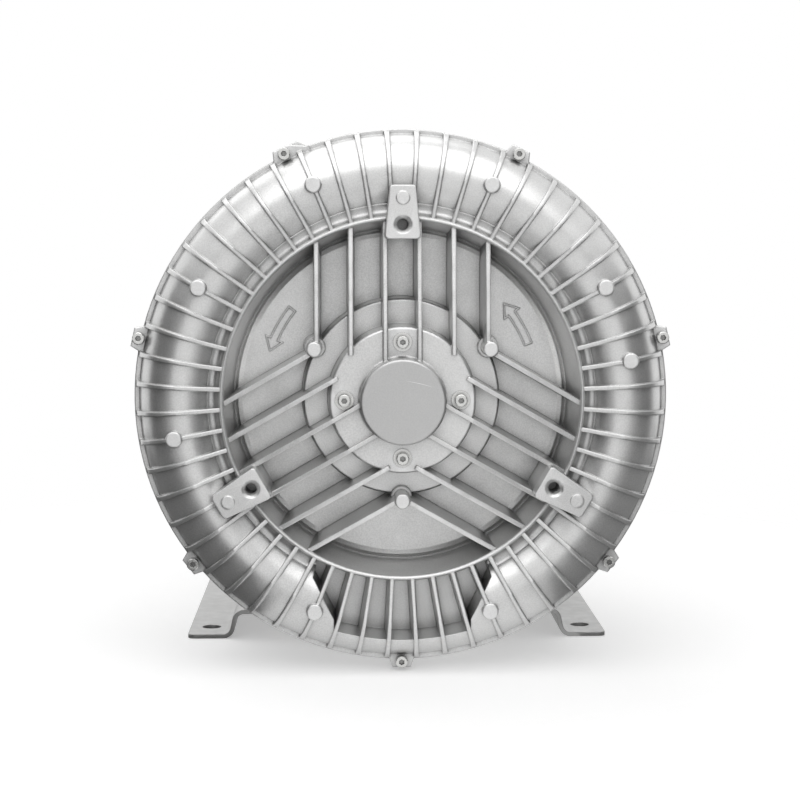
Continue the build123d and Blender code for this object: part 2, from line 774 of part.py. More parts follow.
def fan_clip():
    """Retaining ring behind the fan's hub."""
    return tube(fan_seat, fan_seat + 4, fan_low - 1.5, fan_low)


# ---------------------------------------------------------------- rear housing
def housing_section():
    """Half section of the rear casting without its channel."""
    back = impeller_back - impeller_gap
    crown = Pos(channel_radius, channel_rear) * Circle(channel_bore + wall)
    crown -= box2d(0, 2 * channel_radius, channel_rear, channel_rear + channel_bore + wall + 1)
    outer = box2d(channel_outer, channel_outer + wall, channel_rear, 0)
    flange = box2d(channel_outer, rim_radius, -flange_depth, 0)
    inner = box2d(channel_inner - wall, channel_inner, channel_rear, back)
    plate = box2d(stator_radius, channel_inner, back - dish_floor_wall, back)
    collar = box2d(stator_radius, frame_radius, motor_front, back)
    ring = box2d(stator_radius, cowl_radius, motor_front, motor_front + motor_ring)
    web = box2d(rear_seal_radius, stator_radius, web_low, web_low + 8)
    boss = box2d(rear_seal_radius, rear_seal_radius + 6, web_low - 5, web_low + 8)
    return crown + outer + flange + inner + plate + collar + ring + web + boss


def tube_shell(side):
    """Silencer tube under the motor, with its end flange and foot bosses."""
    x = side * tube_spread
    body = disc(tube_outer, tube_end, rear_crest + wall, x, tube_drop)
    end = disc(port_flange_radius, tube_end, tube_end + port_flange_thickness, x, tube_drop)
    bottom = foot_rise - axis_height
    boss = Pos(x, (bottom + tube_drop) / 2, 0) * Box(foot_boss, tube_drop - bottom, foot_boss)
    return [body, end] + [Pos(0, 0, z) * boss for z in foot_screw_rows()]


def tube_hollow(side):
    """Room inside a silencer tube and the passage from the channel into it."""
    x = side * tube_spread
    bore = tube_outer - tube_wall
    room = disc(bore, tube_end - 1, tube_front, x, tube_drop)
    outwards = channel_radius / tube_circle
    passage = disc(port_passage, tube_front - 1, channel_rear, x * outwards, tube_drop * outwards)
    return [room, passage]


def foot_screw_rows():
    """Places of the foot screws along the shaft's axis."""
    return [tube_front - foot_boss, tube_end + port_flange_thickness + foot_boss]


def rear_ribs():
    """Radial ribs over the back of the rear channel."""
    reach = channel_bore + wall + rib_stand
    root = channel_bore + wall / 2
    band = Pos(channel_radius, channel_rear) * (Circle(reach) - Circle(root))
    band -= box2d(0, 2 * channel_radius, channel_rear, channel_rear + reach + 1)
    length = 2 * reach + 2
    bar = Pos(channel_radius - reach - 1, 0, 0) * tapered_bar(
        length, rib_top, 0, channel_rear - reach, channel_rear + 1)
    count = rib_count // 2
    bars = Compound([Rot(0, 0, (n + 0.5) * 360 / count) * bar for n in range(count)])
    return turned(band).intersect(bars)


def motor_bolt_places():
    """Turns for the four tie bolts between the motor's fins."""
    return around(4, bolt_circle, 45)


def rear_housing():
    """Rear casting: rear channel, silencer tubes and the motor's mounting ring."""
    blocked = -90 - stripper_half_angle
    open_start = blocked + 2 * stripper_half_angle
    open_arc = 360 - 2 * stripper_half_angle
    channel = channel_section(channel_rear, impeller_back)
    sweep_room = box2d(channel_inner, channel_outer, impeller_back - impeller_gap, 1)
    full = housing_section() + channel
    body = turned(full - sweep_room)
    lugs = [place * Pos(0, 0, -housing_lug_depth) * lug(housing_lug_depth) for place in lug_places()]
    tubes = tube_shell(1) + tube_shell(-1)
    body = together([body, *lugs, wide_lug(-flange_depth), *tubes])
    body = together([body, rear_ribs()])
    cuts = [turned(channel, open_start, open_arc), cover_seal()]
    cuts += tube_hollow(1) + tube_hollow(-1)
    cuts += [place * disc(screw_size / 2, -housing_lug_depth - 1, 1, lug_screw_circle)
             for place in lug_places()]
    cuts += [place * disc(bolt_size / 2, motor_front - 1, motor_front + motor_ring + 1)
             for place in motor_bolt_places()]
    cuts += port_screw_holes(screw_size / 2, tube_end - 1, tube_end + port_flange_thickness + 1)
    cuts += foot_screw_holes(bolt_size / 2)
    return body - Compound(cuts)


def foot_screw_holes(radius):
    """Upright holes for the screws between foot and tubes."""
    bottom = foot_rise - axis_height
    upright = Rot(-90, 0, 0) * Cylinder(radius, 2 * (foot_screw_length - foot_sheet))
    return [Pos(side * tube_spread, bottom, z) * upright for side in (1, -1) for z in foot_screw_rows()]


# ---------------------------------------------------------------- ports
def port_screw_holes(radius, low, high):
    """Screw holes round both ports."""
    return [Pos(side * tube_spread, tube_drop, 0) * place * disc(radius, low, high)
            for side in (1, -1) for place in around(port_screw_count, port_screw_circle, 45)]


def port_gasket(side):
    """Flat gasket between a silencer tube and its port flange."""
    ring = tube(tube_outer - tube_wall, port_flange_radius, tube_end - gasket, tube_end)
    holes = [place * disc(screw_size / 2 + screw_clearance, tube_end - 5, tube_end + 5)
             for place in around(port_screw_count, port_screw_circle, 45)]
    return Pos(side * tube_spread, tube_drop, 0) * (ring - Compound(holes))


def port_flange(side):
    """Port ring with the pipe thread, screwed to the end of a silencer tube."""
    high = tube_end - gasket
    low = high - port_flange_depth
    bore = port_thread_bore / 2
    body = disc(port_flange_radius, high - port_flange_thickness, high) + disc(bore + port_collar, low, high)
    body -= disc(bore, low - 1, high + 1)
    holes = [place * disc(screw_size / 2 + screw_clearance, low - 1, high + 1)
             for place in around(port_screw_count, port_screw_circle, 45)]
    return Pos(side * tube_spread, tube_drop, 0) * (body - Compound(holes))


def port_screws():
    """Socket screws of both port flanges."""
    low = tube_end - gasket - port_flange_thickness
    screw = Rot(180, 0, 0) * socket_screw(port_screw_length)
    return Compound([Pos(side * tube_spread, tube_drop, low) * place * screw
                     for side in (1, -1) for place in around(port_screw_count, port_screw_circle, 45)])


def silencer_foam(side):
    """Sound-absorbing sleeve inside a silencer tube."""
    outer = tube_outer - tube_wall
    sleeve = tube(foam_bore, outer, tube_end + foam_end_gap, tube_front - foam_chamber)
    return Pos(side * tube_spread, tube_drop, 0) * sleeve


# ---------------------------------------------------------------- motor
def core_span():
    """Low and high end of the motor's iron."""
    middle = (motor_front + motor_back) / 2
    return middle - core_length / 2, middle + core_length / 2


def slot_bars(length):
    """Winding slots as bars of a given length, standing clear of the stator's bore."""
    start = rotor_radius + air_gap + slot_lip
    bar = Pos((start + slot_reach) / 2, 0, (motor_front + motor_back) / 2) * Box(
        slot_reach - start, slot_width, length)
    return [Rot(0, 0, n * 360 / slot_count) * bar for n in range(slot_count)]


def stator_core():
    """Laminated stator with slots for the windings."""
    low, high = core_span()
    core = tube(rotor_radius + air_gap, stator_radius, low, high)
    return core - Compound(slot_bars(core_length + 2))


def stator_windings():
    """Slot copper joined by a coil head at each end."""
    low, high = core_span()
    bore = rotor_radius + air_gap + slot_lip
    heads = [tube(bore, slot_reach, low - coil_head, low), tube(bore, slot_reach, high, high + coil_head)]
    return together(heads + slot_bars(core_length))


def motor_housing():
    """Finned aluminium frame with bolt rails and the terminal box seat."""
    shell = tube(stator_radius, frame_radius, motor_back, motor_front)
    middle = (motor_front + motor_back) / 2
    fin = Pos(frame_radius + fin_height / 2 - 1, 0, middle) * Box(fin_height + 2, fin_thickness, motor_length)
    fins = [Rot(0, 0, (n + 0.5) * 360 / fin_count) * fin for n in range(fin_count)]
    seat_width = box_width - 16
    seat_top = box_seat
    seat = Pos(0, (seat_top + stator_radius) / 2, box_middle) * Box(
        seat_width, seat_top - stator_radius, box_length - 16)
    rails = [place * disc(bolt_size / 2 + 4, motor_back, motor_front) for place in motor_bolt_places()]
    body = together([shell, *fins, *rails, seat])
    body -= disc(stator_radius, motor_back - 1, motor_front + 1)
    holes = [place * disc(bolt_size / 2 + screw_clearance, motor_back - 1, motor_front + 1)
             for place in motor_bolt_places()]
    return body - Compound(holes + [wire_hole()])


def wire_hole():
    """Way for the winding ends from the frame into the terminal box."""
    upright = Rot(-90, 0, 0) * Cylinder(12, 60)
    return Pos(0, frame_radius + fin_height, box_middle) * upright


def end_shield():
    """Rear motor shield with the bearing seat and four bolt lugs."""
    low = motor_back - shield_depth
    body = disc(frame_radius, low, motor_back)
    lugs = [place * disc(bolt_size / 2 + 4, low, motor_back) for place in motor_bolt_places()]
    reach = cowl_radius - cowl_sheet - free_gap - stator_radius
    arm = Pos(stator_radius + reach / 2, 0, low + shield_depth / 2) * Box(reach, 12, shield_depth)
    lugs += [Rot(0, 0, 45 + n * 90) * arm for n in range(4)]
    body = together([body, *lugs])
    body -= disc(bearing_outer / 2, rear_bearing_low, motor_back + 1)
    body -= disc(fan_seat + 1.5, low - 1, motor_back)
    hollow = tube(bearing_outer / 2 + 5, frame_radius - 6, low + 6, motor_back + 1)
    holes = [place * disc(bolt_size / 2 + screw_clearance, low - 1, motor_back + 1)
             for place in motor_bolt_places()]
    return body - hollow - Compound(holes + cowl_screw_holes(cowl_screw_size / 2))


def tie_bolts():
    """Long bolts that clamp shield and frame to the blower housing."""
    low = motor_back - shield_depth
    bolt = Rot(180, 0, 0) * hex_screw(motor_length + shield_depth + 10, bolt_size, 5.5)
    return Compound([place * Pos(0, 0, low) * bolt for place in motor_bolt_places()])


def fan_cowl():
    """Sheet steel hood over the fan with a ring-slotted air inlet."""
    high = motor_back + cowl_overlap
    low = high - cowl_length
    hood = disc(cowl_radius, low, high)
    rear_edge = hood.edges().filter_by(GeomType.CIRCLE).sort_by(Axis.Z)[0]
    hood = fillet(rear_edge, 8)
    hollow = disc(cowl_radius - cowl_sheet, low + cowl_sheet, high + 1)
    inner_edge = hollow.edges().filter_by(GeomType.CIRCLE).sort_by(Axis.Z)[0]
    hood -= fillet(inner_edge, 8 - cowl_sheet)
    slots = []
    pitch = 9.0
    first = 20.0
    rings = int((cowl_radius - 14 - first) / pitch)
    for n in range(rings):
        inner = first + n * pitch
        ring = tube(inner, inner + pitch - 3, low - 1, low + cowl_sheet + 1)
        slots.append(ring)
    spokes = [place * Box(2 * cowl_radius, 6, 40) for place in around(3)]
    grille = Compound(slots) - Pos(0, 0, low) * together(spokes)
    return hood - grille - Compound(cowl_screw_holes(cowl_screw_size / 2 + 0.2))


def cowl_screw_holes(radius):
    """Radial holes for the screws that hold the cowl to the shield's lugs."""
    hole = Rot(0, 90, 0) * Cylinder(radius, 2 * cowl_screw_length)
    places = around(4, cowl_radius, 45)
    return [Pos(0, 0, motor_back - shield_depth / 2) * place * hole for place in places]


def cowl_screws():
    """Short screws from outside the cowl into the end shield's lugs."""
    screw = Rot(0, 90, 0) * hex_screw(cowl_screw_length, cowl_screw_size, 3.0)
    return Compound([Pos(0, 0, motor_back - shield_depth / 2) * place * screw
                     for place in around(4, cowl_radius, 45)])


# ---------------------------------------------------------------- terminal box
def box_shape(width, length, low, high, corner=8.0):
    """Upright rounded block above the motor, between two heights over the axis."""
    plan = Pos(0, -box_middle) * RectangleRounded(width, length, corner)
    block = extrude(plan, high - low)
    return Pos(0, low, 0) * Rot(-90, 0, 0) * block


def box_corners():
    """Corner screw places of the terminal box: across and along the axis."""
    across = box_width / 2 - 9
    along = box_length / 2 - 9
    return [(sx * across, box_middle + sz * along) for sx in (1, -1) for sz in (1, -1)]


def upright_bar(radius, low, high, x, z):
    """Round bar standing upright above the motor."""
    bar = Rot(-90, 0, 0) * Cylinder(radius, high - low, align=(Align.CENTER, Align.CENTER, Align.MIN))
    return Pos(x, low, z) * bar


def terminal_box_base():
    """Open box on the motor with corner posts and threaded cable entries."""
    top = box_seat + box_height
    body = box_shape(box_width, box_length, box_seat, top)
    body -= box_shape(box_width - 2 * box_wall, box_length - 2 * box_wall, box_seat + box_wall, top + 1, 5.0)
    posts = [upright_bar(6.5, box_seat + 1, top, x, z) for x, z in box_corners()]
    body = together([body, *posts]) & box_shape(box_width, box_length, box_seat, top)
    holes = [upright_bar(2.1, top - 18, top + 1, x, z) for x, z in box_corners()]
    entries = [Pos(box_width / 2, box_seat + box_height / 2, z) * Rot(0, 90, 0) * Cylinder(entry_radius, 20)
               for z in entry_places()]
    return body - Compound(holes + entries + [wire_hole()])


def entry_places():
    """Cable entries along the side of the terminal box."""
    return [box_middle + box_length / 5, box_middle - box_length / 5]


def terminal_gasket():
    """Flat gasket between base and lid."""
    top = box_seat + box_height
    ring = box_shape(box_width, box_length, top, top + box_gap)
    ring -= box_shape(box_width - 2 * box_wall, box_length - 2 * box_wall, top - 1, top + 5, 5.0)
    posts = [upright_bar(6.5, top, top + box_gap, x, z) for x, z in box_corners()]
    ring = together([ring, *posts]) & box_shape(box_width, box_length, top, top + box_gap)
    return ring - Compound([upright_bar(2.4, top - 1, top + 5, x, z) for x, z in box_corners()])


def terminal_lid():
    """Crowned lid, hollow underneath."""
    low = box_seat + box_height + box_gap
    high = low + lid_height
    body = box_shape(box_width, box_length, low, high)
    body = chamfer(body.faces().sort_by(Axis.Y)[-1].edges(), 3.0)
    body -= box_shape(box_width - 26, box_length - 26, low - 1, high - box_wall, 5.0)
    holes = [upright_bar(2.4, low - 1, high + 1, x, z) for x, z in box_corners()]
    sinks = [upright_bar(4.6, high - 5, high + 1, x, z) for x, z in box_corners()]
    return body - Compound(holes + sinks)


def terminal_lid_screws():
    """Pan-head screws sunk into the lid's corners."""
    head_low = box_seat + box_height + box_gap + lid_height - 5
    head = [upright_bar(4.0, head_low, head_low + 3, x, z) for x, z in box_corners()]
    shank = [upright_bar(2.0, head_low - 22, head_low, x, z) for x, z in box_corners()]
    slots = [Pos(x, head_low + 3, z) * Box(1.0, 1.6, 6.0) for x, z in box_corners()]
    return Compound([(h + s) - slot for h, s, slot in zip(head, shank, slots)])


def terminal_block():
    """Moulded block with six terminal studs."""
    low = box_seat + box_wall
    block = Pos(0, low + 7, box_middle) * Box(34, 14, 56)
    block -= Pos(0, low + 14, box_middle) * Box(36, 4, 2)
    studs = [upright_bar(2.5, low + 13, low + 23, sx * 10, box_middle + k * 18)
             for sx in (1, -1) for k in (-1, 0, 1)]
    return together([block, *studs])


def cable_gland():
    """Gland in the front entry, its mouth left open for a cable."""
    face = box_width / 2
    body = extrude(RegularPolygon(entry_radius + 4, 6), 6) + Pos(0, 0, -8) * Cylinder(
        entry_radius, 8, align=(Align.CENTER, Align.CENTER, Align.MIN))
    body += Pos(0, 0, 6) * Cone(entry_radius + 2.5, entry_radius - 2, 14,
                                align=(Align.CENTER, Align.CENTER, Align.MIN))
    body -= Cylinder(gland_bore, 60)
    return Pos(face, box_seat + box_height / 2, entry_places()[0]) * Rot(0, 90, 0) * body


def blanking_plug():
    """Plug in the spare cable entry."""
    face = box_width / 2
    body = extrude(RegularPolygon(entry_radius + 3, 6), 4) + Pos(0, 0, -8) * Cylinder(
        entry_radius, 8, align=(Align.CENTER, Align.CENTER, Align.MIN))
    return Pos(face, box_seat + box_height / 2, entry_places()[1]) * Rot(0, 90, 0) * body


# ---------------------------------------------------------------- foot
def foot_section():
    """Hat profile of the foot: flanges on the floor, a raised platform between."""
    low = foot_sheet / 2
    high = foot_rise - foot_sheet / 2
    half = foot_width / 2
    bend = half - foot_flange
    top = bend - foot_lean
    path = FilletPolyline((-half, low), (-bend, low), (-top, high), (top, high), (bend, low), (half, low),
                          radius=foot_bend + foot_sheet / 2)
    return trace(path, foot_sheet)


def foot_bracket():
    """Pressed hat-section foot with four floor holes and four screw holes."""
    plate = extrude(Plane.XZ * foot_section(), foot_length / 2, both=True)
    corners = plate.edges().filter_by(Axis.Z).filter_by(lambda e: abs(e.center().X) > foot_width / 2 - 1)
    plate = fillet(corners, 5.0)
    hole = Cylinder(foot_hole / 2, 3 * foot_sheet)
    holes = [Pos(sx * foot_holes_x / 2, sy * foot_holes_y / 2, 0) * hole for sx in (1, -1) for sy in (1, -1)]
    screws = [Pos(side * tube_spread, joint_y - z, foot_rise) * Cylinder(bolt_size / 2 + 0.5, 3 * foot_sheet)
              for side in (1, -1) for z in foot_screw_rows()]
    return plate - Compound(holes + screws)


def foot_screws():
    """Hexagon screws from under the platform into the silencer tubes' bosses."""
    low = foot_rise - foot_sheet
    screw = Rot(180, 0, 0) * hex_screw(foot_screw_length, bolt_size, 5.5)
    return Compound([Pos(side * tube_spread, joint_y - z, low) * screw
                     for side in (1, -1) for z in foot_screw_rows()])


# ---------------------------------------------------------------- all nodes
def blower_nodes():
    """Every node of the blower and motor, by name, in the shaft's own frame."""
    front_outer, front_inner, front_balls = bearing_parts(front_bearing_back)
    rear_outer, rear_inner, rear_balls = bearing_parts(rear_bearing_low)
    retainer_low = front_bearing_back - retainer_thickness
    return {
        "front_cover": front_cover(),
        "cover_seal": cover_seal(),
        "cover_screws": cover_screws(),
        "hub_screws": hub_screws(),
        "hub_screw_washers": hub_washers(),
        "bearing_retainer": bearing_retainer(),
        "bearing_wave_spring": wave_spring(),
        "front_shaft_seal": lip_seal(thread_radius, seal_body_radius, retainer_low, retainer_thickness - 1.5),
        "front_bearing_outer_ring": front_outer,
        "front_bearing_inner_ring": front_inner,
        "front_bearing_balls": front_balls,
        "impeller": impeller(),
        "impeller_key": impeller_key(),
        "impeller_nut": impeller_nut(),
        "rotor_shaft": shaft(),
        "rear_housing": rear_housing(),
        "rear_shaft_seal": lip_seal(rear_seal_journal, rear_seal_radius, web_low, 8.0),
        "silencer_foam_left": silencer_foam(-1),
        "silencer_foam_right": silencer_foam(1),
        "port_gasket_left": port_gasket(-1),
        "port_gasket_right": port_gasket(1),
        "port_flange_left": port_flange(-1),
        "port_flange_right": port_flange(1),
        "port_flange_screws": port_screws(),
        "stator_core": stator_core(),
        "stator_windings": stator_windings(),
        "rotor_core": rotor_core(),
        "motor_housing": motor_housing(),
        "motor_end_shield": end_shield(),
        "rear_bearing_outer_ring": rear_outer,
        "rear_bearing_inner_ring": rear_inner,
        "rear_bearing_balls": rear_balls,
        "motor_tie_bolts": tie_bolts(),
        "cooling_fan": cooling_fan(),
        "fan_retaining_ring": fan_clip(),
        "fan_cowl": fan_cowl(),
        "fan_cowl_screws": cowl_screws(),
        "terminal_box_base": terminal_box_base(),
        "terminal_box_gasket": terminal_gasket(),
        "terminal_box_lid": terminal_lid(),
        "terminal_box_screws": terminal_lid_screws(),
        "terminal_block": terminal_block(),
        "cable_gland": cable_gland(),
        "blanking_plug": blanking_plug(),
    }


nodes = {name: onto_axis(shape) for name, shape in blower_nodes().items()}
nodes["foot_bracket"] = foot_bracket()
nodes["foot_screws"] = foot_screws()

os.makedirs("parts", exist_ok=True)
for name, shape in nodes.items():
    export_step(shape, f"parts/{name}.step")
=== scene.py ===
import math

import bpy
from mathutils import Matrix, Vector


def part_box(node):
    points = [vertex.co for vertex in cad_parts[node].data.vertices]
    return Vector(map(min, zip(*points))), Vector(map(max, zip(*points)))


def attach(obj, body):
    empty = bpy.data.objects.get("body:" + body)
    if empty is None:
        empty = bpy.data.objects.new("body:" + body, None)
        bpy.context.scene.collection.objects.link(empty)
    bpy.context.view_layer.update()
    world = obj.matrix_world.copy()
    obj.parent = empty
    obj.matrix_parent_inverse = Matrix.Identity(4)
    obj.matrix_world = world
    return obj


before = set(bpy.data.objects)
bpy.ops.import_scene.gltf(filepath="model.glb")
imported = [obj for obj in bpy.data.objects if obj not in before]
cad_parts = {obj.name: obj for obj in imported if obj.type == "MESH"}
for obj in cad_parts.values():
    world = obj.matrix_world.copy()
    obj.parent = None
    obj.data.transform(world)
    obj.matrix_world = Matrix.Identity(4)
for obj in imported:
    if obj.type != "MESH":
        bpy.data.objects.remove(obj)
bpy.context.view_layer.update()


# Foot bracket: one strip of 3 mm sheet steel pressed to a hat profile, with four
# punched holes for the floor bolts. It is coated in the same silver-grey as the
# castings, smoother than they are, and a little dulled by handling.
def new_finish(name):
    """Starts a material and gives its nodes and links with it."""
    finish = bpy.data.materials.new(name)
    finish.use_nodes = True
    return finish, finish.node_tree.nodes, finish.node_tree.links


def texture(nodes, links, scale, detail=2.0, stretch=(1, 1, 1)):
    """Noise fixed to the piece, with so many grains to the metre."""
    place = nodes.new("ShaderNodeTexCoord")
    squeeze = nodes.new("ShaderNodeMapping")
    squeeze.inputs["Scale"].default_value = stretch
    noise = nodes.new("ShaderNodeTexNoise")
    noise.inputs["Scale"].default_value = scale
    noise.inputs["Detail"].default_value = detail
    links.new(place.outputs["Object"], squeeze.inputs["Vector"])
    links.new(squeeze.outputs["Vector"], noise.inputs["Vector"])
    return noise.outputs["Fac"]


def spread(nodes, links, value, low, high, span=(0.3, 0.7)):
    """Stretches a noise over a range of plain values."""
    ramp = nodes.new("ShaderNodeMapRange")
    ramp.inputs["From Min"].default_value = span[0]
    ramp.inputs["From Max"].default_value = span[1]
    ramp.inputs["To Min"].default_value = low
    ramp.inputs["To Max"].default_value = high
    links.new(value, ramp.inputs["Value"])
    return ramp.outputs["Result"]


def tinted(nodes, links, factor, first, second):
    """Goes from one colour to the other as the factor rises from 0 to 1."""
    mix = nodes.new("ShaderNodeMix")
    mix.data_type = "RGBA"
    if isinstance(first, tuple):
        mix.inputs["A"].default_value = (*first, 1.0)
    else:
        links.new(first, mix.inputs["A"])
    mix.inputs["B"].default_value = (*second, 1.0)
    links.new(factor, mix.inputs["Factor"])
    return mix.outputs["Result"]


def relief(nodes, links, shader, edge, *layers):
    """Rounds the edges by a radius and lays fine relief on the surface."""
    soft = nodes.new("ShaderNodeBevel")
    soft.samples = 6
    soft.inputs["Radius"].default_value = edge
    normal = soft.outputs["Normal"]
    for height, depth in layers:
        bump = nodes.new("ShaderNodeBump")
        bump.inputs["Distance"].default_value = depth
        links.new(height, bump.inputs["Height"])
        links.new(normal, bump.inputs["Normal"])
        normal = bump.outputs["Normal"]
    links.new(normal, shader.inputs["Normal"])


def dress(finish, *names):
    """Gives CAD nodes their finish."""
    for name in names:
        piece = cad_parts[name]
        piece.data.materials.clear()
        piece.data.materials.append(finish)


coated_steel, nodes, links = new_finish("foot_steel")
shader = nodes["Principled BSDF"]
shader.inputs["Metallic"].default_value = 0.85
cloud = spread(nodes, links, texture(nodes, links, 14.0, 3.0), 0.0, 1.0)
links.new(tinted(nodes, links, cloud, (0.40, 0.40, 0.395), (0.47, 0.47, 0.465)),
          shader.inputs["Base Color"])
links.new(spread(nodes, links, texture(nodes, links, 120.0, 4.0), 0.34, 0.50), shader.inputs["Roughness"])
relief(nodes, links, shader, 0.0012, (texture(nodes, links, 900.0), 0.00006))
dress(coated_steel, "foot_bracket")

# Screws, bolts, washers, bearing rings, impeller nut and key: steel, the fasteners
# bright zinc-plated, so that they shine more than the castings. Shade is painted
# into the colour in the sockets and under the heads, darker there.
zinc_steel, nodes, links = new_finish("zinc_steel")
shader = nodes["Principled BSDF"]
shader.inputs["Metallic"].default_value = 1.0
cloud = spread(nodes, links, texture(nodes, links, 160.0, 3.0), 0.0, 1.0)
plating = tinted(nodes, links, cloud, (0.60, 0.60, 0.59), (0.70, 0.70, 0.685))
# Painted shade: the colour darkens in the sockets and under the heads.
socket_shade_ao = nodes.new("ShaderNodeAmbientOcclusion")
socket_shade_ao.samples = 4
socket_shade_ao.inputs["Distance"].default_value = 0.004
shade = spread(nodes, links, socket_shade_ao.outputs["AO"], 0.85, 0.0, (0.25, 0.85))
links.new(tinted(nodes, links, shade, plating, (0.06, 0.06, 0.06)), shader.inputs["Base Color"])
links.new(spread(nodes, links, texture(nodes, links, 300.0, 2.0), 0.20, 0.30), shader.inputs["Roughness"])
relief(nodes, links, shader, 0.0003, (texture(nodes, links, 900.0), 0.000004))
dress(zinc_steel, "foot_screws", "cover_screws", "hub_screws", "hub_screw_washers", "port_flange_screws",
      "motor_tie_bolts", "fan_cowl_screws", "terminal_box_screws", "bearing_wave_spring",
      "front_bearing_outer_ring", "front_bearing_inner_ring", "front_bearing_balls",
      "rear_bearing_outer_ring", "rear_bearing_inner_ring", "rear_bearing_balls",
      "impeller_key", "impeller_nut", "fan_retaining_ring")

# Castings: the ribbed cover, the rear housing, the port flanges, the motor frame,
# its end shield and the terminal box. All are aluminium, cast, then blasted to an
# even silver with a fine grain. Shade is painted into the colour in the hollows, and
# the edges are painted lighter, partly as wear and partly as a painted highlight.
# The round face of the cover's nose is a shade darker.
shaft_low, shaft_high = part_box("rotor_shaft")
axis_x = (shaft_low.x + shaft_high.x) / 2
axis_z = (shaft_low.z + shaft_high.z) / 2
cast_aluminium, nodes, links = new_finish("cast_aluminium")
shader = nodes["Principled BSDF"]
shader.inputs["Metallic"].default_value = 0.80
cloud = spread(nodes, links, texture(nodes, links, 9.0, 4.0), 0.0, 1.0)
speckle = spread(nodes, links, texture(nodes, links, 1100.0, 2.0), 0.0, 0.6)
skin = tinted(nodes, links, cloud, (0.58, 0.58, 0.577), (0.68, 0.68, 0.675))
skin = tinted(nodes, links, speckle, skin, (0.82, 0.82, 0.815))
form = nodes.new("ShaderNodeNewGeometry")
# Edges are painted lighter, partly as wear and partly as a painted highlight.
wear_and_painted_highlight = spread(nodes, links, form.outputs["Pointiness"], 0.0, 0.6, (0.52, 0.60))
skin = tinted(nodes, links, wear_and_painted_highlight, skin, (0.90, 0.90, 0.90))
# Painted shade: the colour darkens in hollows and creases, where shade falls.
crevice_shade_ao = nodes.new("ShaderNodeAmbientOcclusion")
crevice_shade_ao.samples = 4
crevice_shade_ao.inputs["Distance"].default_value = 0.009
painted_crevice_shade = spread(nodes, links, crevice_shade_ao.outputs["AO"], 0.85, 0.0, (0.15, 0.80))
skin = tinted(nodes, links, painted_crevice_shade, skin, (0.16, 0.16, 0.16))
nose_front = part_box("front_cover")[0].y
nose_radius = 0.0294
place = nodes.new("ShaderNodeTexCoord")
apart = nodes.new("ShaderNodeVectorMath")
apart.operation = "DISTANCE"
apart.inputs[1].default_value = (axis_x, nose_front, axis_z)
links.new(place.outputs["Object"], apart.inputs[0])
nose_face = spread(nodes, links, apart.outputs["Value"], 0.42, 0.0, (nose_radius, nose_radius + 0.0006))
skin = tinted(nodes, links, nose_face, skin, (0.24, 0.24, 0.24))
links.new(skin, shader.inputs["Base Color"])
links.new(spread(nodes, links, texture(nodes, links, 90.0, 4.0), 0.29, 0.36), shader.inputs["Roughness"])
relief(nodes, links, shader, 0.0014,
       (texture(nodes, links, 60.0, 1.0), 0.00012),
       (texture(nodes, links, 1300.0, 2.0), 0.00003))
dress(cast_aluminium, "front_cover", "rear_housing", "port_flange_left", "port_flange_right",
      "motor_housing", "motor_end_shield", "terminal_box_base", "terminal_box_lid")

# Lip fillet: the round of metal in the valley between the cover's lip and the crown
# over its channel. It touches both, stops at the blocked sector below, and is one
# casting with the cover, in the same blasted skin.
joint_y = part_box("cover_seal")[0].y


def on_cover(radius, angle, height):
    """Point at a radius and angle about the shaft, at a height out of the joint."""
    turn = math.radians(angle)
    return (axis_x + radius * math.cos(turn), joint_y - height, axis_z + radius * math.sin(turn))


def cast_piece(name, points, faces):
    """Mesh in the castings' finish that rides the standing frame."""
    mesh = bpy.data.meshes.new(name)
    mesh.from_pydata(points, [], faces)
    mesh.materials.append(cast_aluminium)
    piece = bpy.data.objects.new(name, mesh)
    bpy.context.scene.collection.objects.link(piece)
    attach(piece, "blower_frame")
    return piece


fillet_radius = 0.005
fillet_sink = 0.0006
lip_outside = 0.1264
crown_circle = 0.155
crown_height = 0.0045
crown_radius = 0.0275
crown_inside = crown_height + 0.014
centre_r = lip_outside + fillet_radius
reach = crown_circle - centre_r
centre_h = crown_height + math.sqrt((crown_radius + fillet_radius) ** 2 - reach ** 2)
touch = math.degrees(math.atan2(crown_height - centre_h, reach))
arc_steps = 12
section = [(lip_outside - fillet_sink, centre_h)]
for n in range(arc_steps + 1):
    turn = math.radians(180.0 + (180.0 + touch) * n / arc_steps)
    section.append((centre_r + fillet_radius * math.cos(turn), centre_h + fillet_radius * math.sin(turn)))
section += [(section[-1][0], crown_inside), (lip_outside - fillet_sink, crown_inside)]
corners = len(section)
gap_half = 29.0
slices = 300
points, faces = [], []
for n in range(slices + 1):
    angle = -90.0 + gap_half + (360.0 - 2 * gap_half) * n / slices
    points += [on_cover(r, angle, h) for r, h in section]
    if n:
        a, b = (n - 1) * corners, n * corners
        for k in range(corners):
            m = (k + 1) % corners
            faces.append((a + k, a + m, b + m, b + k))
first_end = tuple(range(corners))
last_end = tuple(range(slices * corners, len(points)))[::-1]
faces += [first_end, last_end]
valley = cast_piece("lip_fillet", points, faces)
for polygon in valley.data.polygons:
    is_end = len(polygon.vertices) > 4
    polygon.use_smooth = is_end or 0 < polygon.index % corners <= arc_steps

# Lug web: flat gusset that fills the corner between the rim and the upper left
# screw lug. It is cast with the cover, and its face lies just under the lug's.
web_radius = 0.1914
rim_radius = 0.1859
web_root = 0.1820
web_outline = [(web_root, 115.0), (web_radius, 115.0), (web_radius, 112.0), (rim_radius, 110.2),
               (web_root, 110.2)]
web_back, web_front = -0.0079, 0.00995
points = [on_cover(r, a, h) for h in (web_back, web_front) for r, a in web_outline]
corners = len(web_outline)
faces = [tuple(range(corners))[::-1], tuple(range(corners, 2 * corners))]
for k in range(corners):
    m = (k + 1) % corners
    faces.append((k, m, m + corners, k + corners))
cast_piece("lug_web", points, faces)

